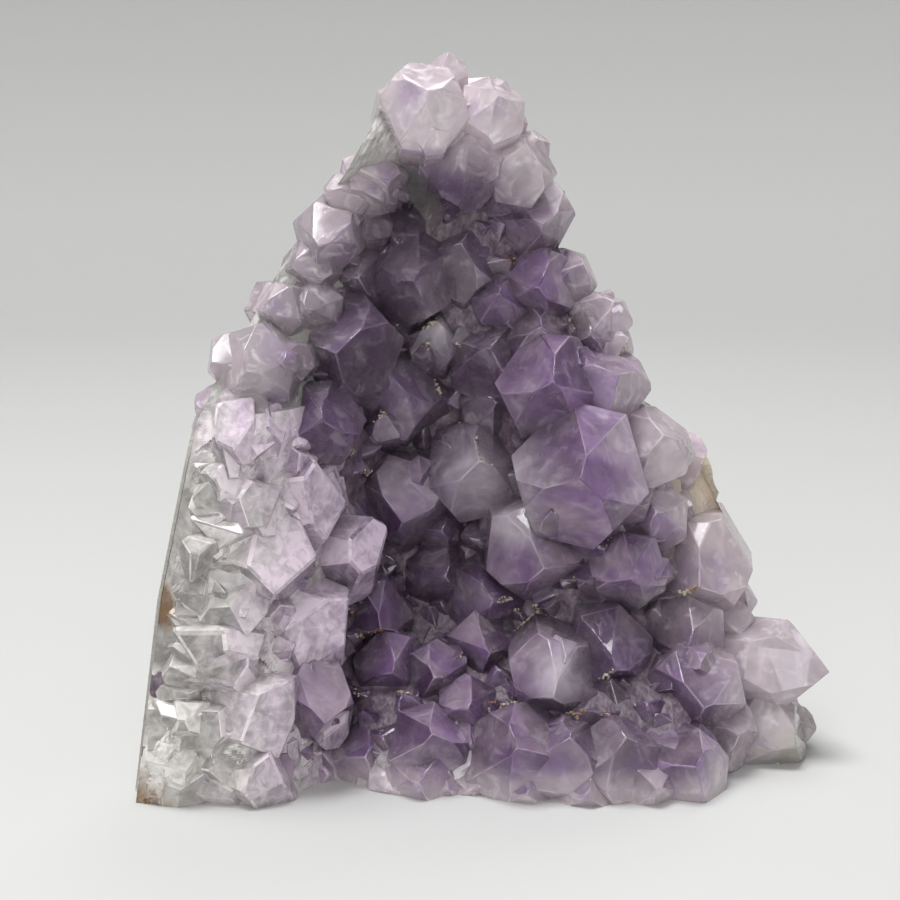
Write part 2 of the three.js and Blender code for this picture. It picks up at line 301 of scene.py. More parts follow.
def bent_slab(name, columns, rows, place):
    """A closed slab whose two faces are bent by place(across, up, side), in millimetres."""
    bm = bmesh.new()
    front, back = ([[bm.verts.new((place(c / columns, r / rows, side) - MIDDLE) * MM)
                     for c in range(columns + 1)] for r in range(rows + 1)] for side in (0, 1))
    for r in range(rows):
        for c in range(columns):
            bm.faces.new((front[r][c], front[r][c + 1], front[r + 1][c + 1], front[r + 1][c]))
            bm.faces.new((back[r][c], back[r + 1][c], back[r + 1][c + 1], back[r][c + 1]))
    for c in range(columns):
        bm.faces.new((front[0][c], back[0][c], back[0][c + 1], front[0][c + 1]))
        bm.faces.new((front[rows][c], front[rows][c + 1], back[rows][c + 1], back[rows][c]))
    for r in range(rows):
        bm.faces.new((front[r][0], front[r + 1][0], back[r + 1][0], back[r][0]))
        bm.faces.new((front[r][columns], back[r][columns], back[r + 1][columns], front[r + 1][columns]))
    bmesh.ops.recalc_face_normals(bm, faces=bm.faces)
    mesh = bpy.data.meshes.new(name)
    bm.to_mesh(mesh)
    bm.free()
    return link_mesh(name, mesh)


def lumps(x, z, size, seed):
    return noise.fractal(Vector((x / size, z / size, seed)), 0.7, 2.1, 4)


FRONT_LUMP, BACK_LUMP, LEAST_BED = 0.9, 1.6, 2      # mm
BED_COLUMNS, BED_ROWS = 96, 96


def bed_point(share, height, side):
    z = height * BED_TOP
    x = across_at(share, z)
    if side:
        return Vector((x, bed_back(x, z) - BACK_LUMP * abs(lumps(x, z, 6, 6.0)), z))
    front = bed_front(x, z) + FRONT_LUMP * lumps(x, z, 5, 3.0)
    return Vector((x, min(front, bed_back(x, z) - LEAST_BED), z))


bed = bent_slab("milky_quartz_bed", BED_COLUMNS, BED_ROWS, bed_point)
from_side = bed.data.attributes.new("from_side", "FLOAT", "POINT")
for corner in bed.data.vertices:
    across, up = corner.co.x / MM + MIDDLE.x, corner.co.z / MM
    inward = min(across - edge_at(LEFT_EDGE, up), edge_at(RIGHT_EDGE, up) - across)
    from_side.data[corner.index].value = inward * MM

# The slanting sides of the purple hollow: [mm across at the foot, lean], as it is seen from in front.
HOLLOW_LEFT, HOLLOW_RIGHT = (-72, 0.56), (48, -0.33)


def inside_hollow(x, z):
    """How far a shader's point is inside the sides of the hollow, in metres."""
    from_left = x - (z * HOLLOW_LEFT[1] + HOLLOW_LEFT[0] * MM)
    from_right = z * HOLLOW_RIGHT[1] + HOLLOW_RIGHT[0] * MM - x
    return from_right.math("MINIMUM", from_left)


milk = Finish("milky_quartz")
milk_place, milk_x, milk_y, milk_z = milk.place()
milk_veil = milk.cloud(milk_place, 7.0, 5.0, 0.6)
milk_fine = milk.cloud(milk_place, 1.6, 4.0)
milk_grain = milk.cloud(milk_place.vector("MULTIPLY", (1.0, 0.22, 1.0)), 2.6, 3.0, 0.6)
# Painted shade: inside the hollow the bed is a dark, purplish grey, for the shade between the crystals.
hollow = inside_hollow(milk_x, milk_z).ramp(0.0, 0.008) * (1 - milk_y.ramp(0.010, 0.014))
hollow = hollow * milk_z.ramp(0.002, 0.008) * (1 - milk_z.ramp(0.092, 0.098))
milk_light = (milk_veil * 0.5 + (milk_grain - 0.5) * 2.2 + 0.3).clipped()
milk_pale = milk.blend(milk_light, (0.44, 0.40, 0.43), (0.84, 0.80, 0.82))
milk_tint_in_shade = milk.blend(milk_fine.ramp(0.4, 0.7), (0.10, 0.07, 0.10), (0.24, 0.18, 0.22))
milk_colour = milk.blend(hollow, milk_pale, milk_tint_in_shade)
milk_grey = milk_z.ramp(0.052, 0.060) * (1 - milk_x.ramp(-0.014, -0.004))
milk_grey = milk_grey * (1 - milk_y.ramp(0.008, 0.014))
milk_colour = milk.blend(milk_grey * 0.8, milk_colour, (0.36, 0.355, 0.33))
milk_cream = milk_x.ramp(0.028, 0.032) * milk_z.hump(0.043, 0.009) * 0.9
milk_colour = milk.blend(milk_cream, milk_colour, (0.68, 0.58, 0.46))
milk_relief = milk.bump(milk_veil + milk_fine * 0.6 + milk_grain * 1.5, 0.6, 0.0009)
bed.data.materials.append(milk.surface(milk.principled({
    "Base Color": milk_colour, "Roughness": 0.45, "IOR": QUARTZ_IOR, "Normal": milk_relief})))
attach(bed, "root")
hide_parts("amethyst_druse")

# ---------------------------------------------------------------------------------------------------
# The amethyst crystals, clear quartz with milky veils in it. Each is a six-sided prism closed by six
# slanting faces, three of them leading, with smaller ones grown against it in step. All have grown into
# each other and out of the bed, so they are one solid.

PYRAMID_SLOPE = math.radians(51.8)  # from a quartz crystal's axis to the normal of its end faces
EDGE_WEAR = 0.22                    # millimetres taken off each edge

# [across, up, width, reach in front of the bed, turn to the right, rise above level], mm and degrees
CROWN = [
    (-8, 102, 13, 13, 5, 18), (2, 101, 10, 10, 10, 25), (-4, 107, 6, 5, 0, 60), (6, 93, 12, 9, 15, 30),
    (-2, 93, 11, 8, -5, -35), (-16, 93, 8, 3, -30, 15),
    (-8, 97, 14, 20, 175, 30), (1, 97, 13, 19, 190, 25),
]
UPPER_LEFT = [
    (-17, 91, 9, 5, -20, 0), (-22, 84, 10, 8, -12, -10), (-17, 84, 9, 4, 10, 0), (-21, 90, 7, 3, -35, 15),
    (-26, 79, 8, 4, -25, 5), (-30, 73, 8, 4, -30, 5), (-25, 73, 9, 5, -5, 5), (-12, 82, 10, 4, 5, 0),
    (-18, 77, 11, 4, 5, 5),
]
MIDDLE_LEFT = [
    (-21, 66, 17, 9, 0, 5), (-32, 65, 12, 8, -10, 5), (-37, 66, 8, 4, -30, 5), (-24, 56, 13, 8, 10, 10),
    (-13, 58, 14, 10, 0, 25), (-12, 69, 9, 3, 0, 0), (-37, 57, 11, 3, -10, 0),
]
HEART = [
    (-10, 76, 14, 10, 5, 5), (-2, 80, 11, 5, 0, 30), (-6, 67, 9, 5, 5, 40), (3, 64, 14, 7, -5, 20),
    (-6, 57, 10, 4, 15, 10), (3, 56, 10, 4, 10, 20), (1, 46, 15, 11, 0, 15), (-12, 41, 15, 12, 5, -10),
    (5, 38, 9, 4, -5, 30), (-5, 36, 11, 6, 0, 0), (-5, 28, 12, 7, 5, 10), (3, 25, 14, 8, 0, 10),
    (24, 32, 12, 9, 0, 0), (4, 73, 9, 5, 0, 20),
]
UPPER_RIGHT = [
    (9, 85, 12, 9, 10, 0), (10, 75, 12, 8, 0, 5), (15, 76, 9, 6, 25, 30), (20, 70, 9, 6, 20, 35),
    (22, 66, 8, 4, 35, 20), (18, 67, 7, 4, 0, 15), (12, 60, 15, 10, 0, 15), (10, 68, 10, 5, 5, 20),
]
RIGHT_SLOPE = [
    (20, 59, 13, 9, 15, 25), (27, 50, 13, 9, 15, 25), (34, 47, 10, 4, 40, 10), (17, 47, 20, 14, -5, 8),
    (10, 34, 16, 10, 5, -5), (36, 30, 16, 11, -5, -5), (28, 40, 11, 5, 0, 15), (21, 31, 11, 6, 0, 10),
    (33, 20, 13, 7, 0, 0), (35, 13, 14, 8, 0, 0), (41, 20, 9, 5, 15, 0), (42, 25, 9, 4, 20, 35),
    (44, 14, 15, 15, 55, 3), (46, 7, 8, 8, 65, 0),
]
LOWER = [
    (12, 16, 13, 11, 0, -5), (21, 19, 13, 9, 5, -5), (-6, 15, 11, 7, 0, 10), (-13, 16, 11, 7, 5, 5),
    (-16, 24, 11, 9, 10, -10), (-25, 15, 11, 11, 15, -15), (-1, 11, 10, 5, 0, 20), (2, 18, 11, 6, 5, 10),
]
FOOT = [
    (-7, 7, 12, 7, 5, 30), (7, 6, 15, 9, -5, 25), (14, 6, 12, 8, 0, 40), (22, 6, 13, 8, 5, 40),
    (-23, 4, 10, 5, 0, 15), (-17, 4, 10, 5, 5, 15), (-8, 2, 12, 6, -5, 15), (8, 1, 10, 6, 0, 10),
    (17, 1, 11, 7, 0, 5), (26, 2, 11, 7, 10, 10), (32, 4, 14, 7, 10, 20), (39, 6, 12, 6, 20, 15),
    (45, 4, 12, 13, 25, 0), (49, 3, 8, 9, 40, 5), (-32, 5, 10, 4, 5, 20), (-41, 4, 10, 3, -5, 10),
]
MAIN_CRYSTALS = CROWN + UPPER_LEFT + MIDDLE_LEFT + HEART + UPPER_RIGHT + RIGHT_SLOPE + LOWER + FOOT


def body_from_planes(planes, wear):
    """A convex body from (normal, distance) planes, its edges worn down a little."""
    normals = np.array([normal for normal, _ in planes])
    distances = np.array([distance for _, distance in planes])
    picks = np.array(list(combinations(range(len(planes)), 3)))
    sound = np.abs(np.linalg.det(normals[picks])) > 1e-3
    corners = np.linalg.solve(normals[picks[sound]], distances[picks[sound]][..., None])[..., 0]
    inside = (corners @ normals.T <= distances + 1e-7).all(axis=1)
    bm = bmesh.new()
    for corner in corners[inside]:
        bm.verts.new(corner)
    bmesh.ops.remove_doubles(bm, verts=bm.verts, dist=1e-4)
    bmesh.ops.convex_hull(bm, input=bm.verts)
    bmesh.ops.dissolve_limit(bm, angle_limit=math.radians(0.5), verts=bm.verts, edges=bm.edges)
    worn = bmesh.ops.bevel(bm, geom=bm.edges, offset=wear, segments=1, affect="EDGES", clamp_overlap=True)
    return bm, set(worn["faces"])


def quartz_crystal(width, length, chance, wear=EDGE_WEAR):
    """Tip at the origin, pointing up; maps hold the height above the root, a tint, and worn edges."""
    planes = []
    for side in range(6):
        turn = math.radians(60 * side)
        level = np.array((math.cos(turn), math.sin(turn), 0.0))
        planes.append((level, width / 2 * chance.uniform(0.88, 1.12)))
        end = level * math.sin(PYRAMID_SLOPE) + np.array((0, 0, math.cos(PYRAMID_SLOPE)))
        set_back = chance.uniform(0.05, 0.25) if side % 2 else chance.uniform(-0.04, 0.0)
        planes.append((end, width / 2 * set_back))
    planes.append((np.array((0.0, 0.0, -1.0)), length))
    bm, worn = body_from_planes(planes, wear)
    growth, edge_wear = bm.loops.layers.uv.new("growth"), bm.loops.layers.uv.new("edge_wear")
    tint = chance.random()
    for face in bm.faces:
        for loop in face.loops:
            loop[growth].uv = (1 + loop.vert.co.z / length, tint)
            loop[edge_wear].uv = (float(face in worn), 0)
    return bm


def facing(turn, rise):
    turn, rise = math.radians(turn), math.radians(rise)
    return Vector((math.cos(rise) * math.sin(turn), -math.cos(rise) * math.cos(turn), math.sin(rise)))


def add_body(bm, placement, group):
    bm.transform(placement)
    mesh = bpy.data.meshes.new(group.name)
    bm.to_mesh(mesh)
    bm.free()
    group.objects.link(bpy.data.objects.new(group.name, mesh))


def on_piece(tip, axis, twist):
    """From a crystal drawn in millimetres, tip at the origin, to its place on the piece."""
    turned = axis.to_track_quat("Z", "Y").to_matrix().to_4x4() @ Matrix.Rotation(twist, 4, "Z")
    return Matrix.Scale(MM, 4) @ Matrix.Translation(tip - MIDDLE) @ turned


def grow_main_crystals(group):
    chance = random.Random(9)
    for across, up, width, reach, turn, rise in MAIN_CRYSTALS:
        axis = facing(turn, rise)
        root = Vector((across, bed_front(across, up), up))
        room = max(bed_back(across, up) - root.y - 3 - width / 4, 1)
        embedded = min(width * 0.6, room) if axis.y < 0 else -width / 3
        length = reach + embedded
        tip = root + axis * reach
        body = quartz_crystal(width, length, chance)
        add_body(body, on_piece(tip, axis, chance.uniform(0, math.pi)), group)
        side = axis.orthogonal().normalized()
        for _ in range(2 if width > 9 else 1):
            small = width * chance.uniform(0.3, 0.5)
            around = Matrix.Rotation(chance.uniform(0, 2 * math.pi), 3, axis)
            lean = (axis + around @ side * chance.uniform(-0.05, 0.12)).normalized()
            stepped = tip - axis * width * chance.uniform(0.3, 0.6) + around @ side * width * 0.36
            stepped_length = max(length - width * 0.3, small * 0.7)
            body = quartz_crystal(small, stepped_length, chance, EDGE_WEAR * 0.6)
            add_body(body, on_piece(stepped, lean, chance.uniform(0, math.pi)), group)


class Growth:
    """A Geometry Nodes tree built step by step, with its sizes as named inputs in metres."""

    def __init__(self, name, sizes):
        self.tree = bpy.data.node_groups.new(name, "GeometryNodeTree")
        face = self.tree.interface
        face.new_socket("Geometry", in_out="OUTPUT", socket_type="NodeSocketGeometry")
        face.new_socket("Geometry", in_out="INPUT", socket_type="NodeSocketGeometry")
        self.sizes = {}
        for label, value in sizes.items():
            made = face.new_socket(label, in_out="INPUT", socket_type="NodeSocketFloat")
            self.sizes[made.identifier] = value
        self.start = self.tree.nodes.new("NodeGroupInput")
        self.end = self.tree.nodes.new("NodeGroupOutput")

    def given(self, label):
        return self.start.outputs[label]

    def node(self, kind, settings, inputs, out=0):
        made = self.tree.nodes.new(kind)
        for name, value in settings.items():
            setattr(made, name, value)
        for key, value in inputs.items():
            for one in value if isinstance(value, list) else [value]:
                if isinstance(one, bpy.types.NodeSocket):
                    self.tree.links.new(one, made.inputs[key])
                else:
                    made.inputs[key].default_value = one
        return made.outputs[out]

    def test(self, operation, value, limit):
        return self.node("FunctionNodeCompare", {"operation": operation}, {0: value, 1: limit})

    def both(self, operation, first, second):
        return self.node("FunctionNodeBooleanMath", {"operation": operation}, {0: first, 1: second})

    def chance(self, low, high, seed):
        """A random number, or vector, from low to high for each point."""
        if isinstance(low, tuple):
            settings, inputs, out = {"data_type": "FLOAT_VECTOR"}, {0: low, 1: high, "Seed": seed}, 0
        else:
            settings, inputs, out = {"data_type": "FLOAT"}, {2: low, 3: high, "Seed": seed}, 1
        return self.node("FunctionNodeRandomValue", settings, inputs, out)

    def bodies(self, collection, at_origin):
        """A collection's bodies, either where they lie or each at the origin."""
        return self.node("GeometryNodeCollectionInfo", {}, {
            "Collection": collection, "Separate Children": True, "Reset Children": at_origin})

    def planted(self, collection, chosen, spacing, scale, tilt, seed):
        """Bodies from a collection scattered on the chosen faces, standing off the surface's normal."""
        points = self.node("GeometryNodeDistributePointsOnFaces", {"distribute_method": "POISSON"}, {
            "Mesh": self.given("Geometry"), "Selection": chosen, "Distance Min": self.given(spacing),
            "Density Max": 4.0e5, "Seed": seed})
        turned = self.node("FunctionNodeRotateRotation", {"rotation_space": "LOCAL"}, {
            0: points.node.outputs["Rotation"],
            1: self.chance((-tilt, -tilt, -math.pi), (tilt, tilt, math.pi), seed + 1)})
        return self.node("GeometryNodeInstanceOnPoints", {}, {
            "Points": points, "Instance": self.bodies(collection, True), "Pick Instance": True,
            "Rotation": turned, "Scale": scale})

    def joined(self, operation, inputs):
        """Solids joined, cut or limited by one another."""
        settings = {"operation": operation, "solver": "MANIFOLD"}
        return self.node("GeometryNodeMeshBoolean", settings, inputs)

    def sawn(self, geometry):
        """The geometry without all that is below the saw cut at height 0."""
        slab = self.node("GeometryNodeMeshCube", {}, {"Size": (1.0, 1.0, 0.2)})
        below = self.node("GeometryNodeTransform", {}, {0: slab, "Translation": (0.0, 0.0, -0.1)})
        return self.joined("DIFFERENCE", {0: geometry, 1: below})

    def grown(self, geometry, source, name, material):
        """Runs the tree on a copy of the source mesh and returns the result as a plain piece."""
        whole = self.node("GeometryNodeRealizeInstances", {}, {0: geometry})
        finished = self.node("GeometryNodeSetMaterial", {}, {0: whole, "Material": material})
        self.tree.links.new(finished, self.end.inputs[0])
        carrier = link_mesh(name + "_source", source.data.copy())
        modifier = carrier.modifiers.new("growth", "NODES")
        modifier.node_group = self.tree
        for key, value in self.sizes.items():
            modifier[key] = value
        graph = bpy.context.evaluated_depsgraph_get()
        mesh = bpy.data.meshes.new_from_object(carrier.evaluated_get(graph))
        carrier.modifiers.clear()
        bpy.data.objects.remove(carrier)
        return link_mesh(name, mesh)


YOUNG_KINDS = 10
YOUNG_LENGTH, YOUNG_TIP, YOUNG_WEAR = 0.9, 0.26, 0.03   # as shares of a young crystal's width
SHOULDER_RIGHT, SHOULDER_TOP = -27, 57
LINING_TOP, LINING_INSET = 88, 4.5                      # mm up, and mm in from the sides of the bed
LINED_LIE = -0.12                                       # the most that a lined face may look back

main_crystals = bpy.data.collections.new("main_crystals")
grow_main_crystals(main_crystals)
young_crystals = bpy.data.collections.new("young_crystals")
chance = random.Random(21)
for _ in range(YOUNG_KINDS):
    body = quartz_crystal(1.0, YOUNG_LENGTH, chance, YOUNG_WEAR)
    add_body(body, Matrix.Translation((0, 0, YOUNG_TIP)), young_crystals)

lining = Growth("crystal_lining", {
    "Spacing": 6.8 * MM, "Least width": 7.5 * MM, "Most width": 11.0 * MM,
    "Young spacing": 5.4 * MM, "Young least width": 5.0 * MM, "Young most width": 8.0 * MM})
where = lining.node("ShaderNodeSeparateXYZ", {}, {0: lining.node("GeometryNodeInputPosition", {}, {})})
lie = lining.node("ShaderNodeSeparateXYZ", {}, {0: lining.node("GeometryNodeInputNormal", {}, {})})
inset = lining.node("GeometryNodeInputNamedAttribute", {"data_type": "FLOAT"}, {"Name": "from_side"})
faces_front = lining.test("LESS_THAN", lie.node.outputs[1], LINED_LIE)
right_of_shoulder = lining.test("GREATER_THAN", where, (SHOULDER_RIGHT - MIDDLE.x) * MM)
above_shoulder = lining.test("GREATER_THAN", where.node.outputs[2], SHOULDER_TOP * MM)
below_crown = lining.test("LESS_THAN", where.node.outputs[2], LINING_TOP * MM)
inside_edge = lining.test("GREATER_THAN", inset, LINING_INSET * MM)
lined = lining.both("AND", faces_front, lining.both("OR", right_of_shoulder, above_shoulder))
lined = lining.both("AND", lined, lining.both("AND", below_crown, inside_edge))
grown_width = lining.chance(lining.given("Least width"), lining.given("Most width"), 6)
grown_ones = lining.planted(young_crystals, lined, "Spacing", grown_width, 0.3, 4)
young_width = lining.chance(lining.given("Young least width"), lining.given("Young most width"), 16)
young_ones = lining.planted(young_crystals, lined, "Young spacing", young_width, 0.25, 14)
main_ones = lining.bodies(main_crystals, False)
whole_lining = lining.sawn(lining.joined("UNION", {"Mesh": [grown_ones, young_ones, main_ones]}))


def round_worn_edges(piece):
    """Shades the worn edges round and leaves the faces flat and their meetings sharp."""
    piece.data.polygons.foreach_set("use_smooth", [True] * len(piece.data.polygons))
    piece.data.set_sharp_from_angle(angle=math.radians(33))
    flat = piece.modifiers.new("flat_faces", "WEIGHTED_NORMAL")
    flat.keep_sharp = True
    flat.weight = 100


SHELTER_REACH = 11 * MM
SHELTER_RAYS = 26
GOLDEN_TURN = 2.4       # radians from one ray to the next, which spreads them evenly over a ball


def mark_openness(piece):
    """Stores at each corner the share of the space in front of it that no other crystal fills."""
    corners, faces = piece.data.vertices, piece.data.polygons
    tree = BVHTree.FromPolygons([corner.co for corner in corners], [face.vertices for face in faces])
    rays = []
    for turn in range(SHELTER_RAYS):
        rise = 1 - (2 * turn + 1) / SHELTER_RAYS
        level = math.sqrt(1 - rise * rise)
        round_axis = GOLDEN_TURN * turn
        rays.append(Vector((level * math.cos(round_axis), level * math.sin(round_axis), rise)))
    openness = piece.data.attributes.new("openness", "FLOAT", "POINT")
    for corner in corners:
        ahead = [ray for ray in rays if ray.dot(corner.normal) > 0.2]
        start = corner.co + corner.normal * 0.2 * MM
        free = sum(tree.ray_cast(start, ray, SHELTER_REACH)[0] is None for ray in ahead)
        openness.data[corner.index].value = free / len(ahead)


def split_faces(finish, where, size):
    """Height of flat chips about `size` millimetres across, each tilted its own way."""
    cells = finish.node("ShaderNodeTexVoronoi", {}, {"Vector": where, "Scale": 1000.0 / size})
    away = where.vector("SUBTRACT", cells.other(2))
    way = cells.other(1).vector("SUBTRACT", (0.5, 0.5, 0.5))
    return away.vector("DOT_PRODUCT", way, 1)


# [across, up, reach across, reach up] in mm of bright facets that get a painted highlight, and of crystals
# darkened with painted shade
HIGHLIGHT_SPOTS = [(1, 46, 7.5, 7.5), (12, 18, 4, 4), (-6, 69, 4, 3), (5, 39, 4, 3), (27, 26, 3, 3)]
SHADED_SPOTS = [(-21, 66, 9, 9), (-7, 30, 10, 12), (19, 10, 12, 5)]


def spots(x, z, places):
    return sum(x.hump(across * MM, wide * MM) * z.hump(up * MM, tall * MM)
               for across, up, wide, tall in places)


gem = Finish("amethyst")
gem_place, gem_x, _, gem_z = gem.place()
tipward = gem.mapped("growth")
tint = tipward.other(1)
# The worn edges. Further down they are painted lighter, as a painted highlight of edges catching the light.
worn_edge_highlight = gem.mapped("edge_wear")
off_face = gem.off_face(gem_place, 6)
zones = gem.cloud(off_face, 10.0, 2.0, 0.5, 0.5)
wisps = gem.cloud(off_face, 3.6, 3.0, 0.5, 0.4)
# Painted sheen: each facet gets its own lighter or darker tone by the way it faces, standing in for the
# reflections that set facets apart.
facet_painted_sheen = gem.node("ShaderNodeTexNoise", {}, {
    "Vector": gem.facing().vector("ADD", tint * 9.0), "Scale": 1.7, "Detail": 0.0}).ramp(0.35, 0.65)
heart = inside_hollow(gem_x, gem_z).ramp(-0.002, 0.012)
recess = gem_x.ramp(-0.018, -0.013) * (1 - gem_x.ramp(0.001, 0.006))
heart = heart * gem_z.ramp(-0.001, 0.006) * (1 - (gem_z - recess * 0.005).ramp(0.086, 0.094))
purple = (heart * 0.9 - 0.25 + (tint - 0.5) * 0.6 + (zones - 0.5) * 4.5).clipped()
# Painted highlight: the listed facets are paler and less purple where they catch the light.
painted_highlight = spots(gem_x, gem_z, HIGHLIGHT_SPOTS).clipped()
purple = (tipward.ramp(0.2, 0.9) * 0.6 + 0.4) * purple * (1 - painted_highlight * 0.7)
# Painted light and shade: this share picks between the shaded and the lit copies of each tint below. It
# comes from the facets' painted sheen, the worn edges' painted highlight and the crystals' own cloudy
# zones.
painted_facet_light_and_clouds = (facet_painted_sheen * 0.8 + (wisps - 0.5) * 0.6 + worn_edge_highlight * wisps.ramp(0.35, 0.65) * 0.4).clipped()
clear_tint = gem.blend(purple, (0.93, 0.885, 0.945), (0.59, 0.41, 0.76))
shade_tint = gem.blend(heart, (0.87, 0.725, 0.79), (0.23, 0.165, 0.215))
milk_tint = gem.blend(heart, (1.0, 0.88, 0.91), (0.61, 0.475, 0.60))
greyed = (gem_z.hump(0.080, 0.018) * 1.3).clipped() * (1 - gem_x.ramp(-0.022, -0.012))
milk_tint = gem.blend(greyed * 0.9, milk_tint, (0.36, 0.33, 0.35))
milk_tint = gem.blend(painted_facet_light_and_clouds, shade_tint, milk_tint)
deep_shade = gem.blend(heart, (0.60, 0.41, 0.68), (0.11, 0.055, 0.14))
deep_tint = gem.blend(heart, (0.80, 0.63, 0.86), (0.36, 0.21, 0.45))
deep_tint = gem.blend(painted_facet_light_and_clouds, deep_shade, deep_tint)
milk_tint = gem.blend(purple, milk_tint, deep_tint)
# Painted shade: the crystals in the upper part of the pocket, and at the listed spots, are darkened where
# they lie in shadow.
painted_pocket_shade = gem_z.ramp(0.045, 0.062) * (1 - gem_x.ramp(-0.006, 0.012))
painted_pocket_shade = (painted_pocket_shade + spots(gem_x, gem_z, SHADED_SPOTS)).clipped() * heart
milk_tint = gem.blend(painted_pocket_shade * 0.55, milk_tint, (0.12, 0.09, 0.12))
milk_tint = gem.blend(painted_highlight * 0.75, milk_tint, (0.80, 0.72, 0.80))
# Painted shade: corners that the other crystals close in are darkened, most of all in the hollow and less
# so in the recess under the crown.
painted_crease_shade = (1 - gem.stored("openness").ramp(0.2, 0.85)) * (0.40 + heart * 0.42)
painted_crease_shade = painted_crease_shade * (1 - recess * gem_z.ramp(0.078, 0.088) * 0.55)
painted_crease_shade_tint = gem.blend(heart, (0.47, 0.38, 0.42), (0.035, 0.021, 0.035))
milk_tint = gem.blend(painted_crease_shade, milk_tint, painted_crease_shade_tint)
# White fracture feathers: partly real flaws, partly a painted highlight for the crystals' glints.
feathers_and_glints = gem.cloud(off_face, 4.0, 2.0, 0.7, 0.8).ramp(0.52, 0.72) * (1 - heart * 0.75)
milk_tint = gem.blend(feathers_and_glints * 0.6, milk_tint, (1.0, 0.98, 1.0))
milk_tint = gem.blend(gem_x.ramp(0.042, 0.048) * 0.4, milk_tint, (0.52, 0.46, 0.51))
rocky = gem_x.ramp(0.041, 0.045) * (1 - gem_z.ramp(0.004, 0.008)) * wisps.ramp(0.35, 0.5)
milk_tint = gem.blend(rocky, milk_tint, (0.42, 0.41, 0.36))
flaws = split_faces(gem, gem_place, 1.4) * feathers_and_glints
clear = gem.principled({
    "Base Color": clear_tint, "Roughness": 0.03, "IOR": QUARTZ_IOR, "Transmission Weight": 1.0})
milky = gem.principled({
    "Base Color": milk_tint, "Roughness": 0.06, "IOR": QUARTZ_IOR,
    "Normal": gem.bump(flaws + wisps * 0.0001, 0.5, 0.25)})
veil = 0.48 + heart * 0.12 + (wisps - 0.5) * 0.5 + feathers_and_glints * 0.2 + rocky * 0.3
body = gem.node("ShaderNodeMixShader", {}, {
    0: veil.math("MAXIMUM", 0.3).math("MINIMUM", 0.9), 1: clear, 2: milky})
amethyst = gem.surface(body)

crystals = lining.grown(whole_lining, bed, "amethyst_crystals", amethyst)
mark_openness(crystals)
round_worn_edges(crystals)
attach(crystals, "root")
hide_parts("amethyst_druse")

# ---------------------------------------------------------------------------------------------------
# The broken shoulder: the left wall was snapped off square, which bares its massive white quartz. It
# runs in fused, glassy splinters from the rind to the pocket and is amethyst only at their right ends.

SPLINTERS = 76
SPLINTER_ROWS = 19
# The largest, as [across, depth, up, width, length, turn to the right, rise above level], mm and degrees
LARGE_SPLINTERS = [
    (-15, -9, 33, 13, 18, 60, -12), (-21, -15, 23, 13, 16, 60, -20),
    (-20, -16, 11, 9, 12, 50, -10), (-28, -24, 13, 12, 13, 66, -8), (-29, -25, 4, 10, 10, 50, 5),
    (-20, -14, 45, 13, 18, 62, 8), (-25, -20, 37, 14, 17, 66, 0), (-33, -22, 50, 10, 9, 50, 10),
    (-33, -24, 22, 11, 13, 72, -12), (-36, -24, 11, 10, 11, 70, 6),
]


def splits(x, z, size, seed, domed):
    """Height of flat splits about `size` millimetres across, as shares of that size. Domed ones meet in
    creases; the others end in sharp steps."""
    cells = 64
    draws = np.random.RandomState(seed).rand(cells, cells, 5)
    u, v = x / size, z / size
    best, height = np.full(u.shape, -9.0), np.zeros(u.shape)
    for across in (-1, 0, 1):
        for up in (-1, 0, 1):
            cell_u, cell_v = np.floor(u) + across, np.floor(v) + up
            draw = draws[cell_u.astype(int) % cells, cell_v.astype(int) % cells]
            off_u, off_v = u - cell_u - draw[..., 0], v - cell_v - draw[..., 1]
            away = off_u ** 2 + off_v ** 2
            slope_u, slope_v = 0.8 * (draw[..., 3] - 0.5), 0.8 * (draw[..., 4] - 0.5)
            level = 0.3 * draw[..., 2] + slope_u * off_u + slope_v * off_v
            rank = level - 0.45 * away if domed else -away
            height = np.where(rank > best, rank if domed else level, height)
            best = np.maximum(best, rank)
    return height


WALL_WIDTH, WALL_RIGHT, WALL_TOP = 30, -22, 59
WALL_STEP = 0.33


def make_broken_wall():
    columns, rows = round(WALL_WIDTH / WALL_STEP), round(WALL_TOP / WALL_STEP)
    z = np.repeat(np.linspace(0, WALL_TOP, rows + 1)[:, None], columns + 1, axis=1)
    left = np.interp(z, *zip(*[(up, across) for across, up in LEFT_EDGE]))
    x = left + (WALL_RIGHT - left) * np.linspace(0, 1, columns + 1)[None, :]
    sway = np.array([[lumps(a, b, 9, 2.0) for a, b in zip(*row)] for row in zip(x, z)])
    long_x = x * 0.55 + sway * 1.5
    crumbled = np.clip(0.35 - sway * 1.5 - (z - 25) / 80, 0.1, 0.8)
    height = 7.5 * splits(long_x, z - 0.25 * x, 9.5, 1, True)
    height += 2.0 * crumbled * splits(x + sway * 3, z + sway * 2, 5.2, 2, False)
    height += 0.4 * crumbled * splits(x + sway * 3, z - sway * 2, 2.0, 3, False)
    from_edge = np.minimum(x - left, 4.0) / 4.0
    front = np.vectorize(bed_front)(x, z)
    return x, z, front - 0.4 - (height + 0.2) * from_edge, front + 2.5


wall_x, wall_z, wall_front, wall_back = make_broken_wall()


def wall_point(share, height, side):
    row, column = round(height * (wall_x.shape[0] - 1)), round(share * (wall_x.shape[1] - 1))
    depth = wall_back if side else wall_front
    return Vector((wall_x[row, column], depth[row, column], wall_z[row, column]))


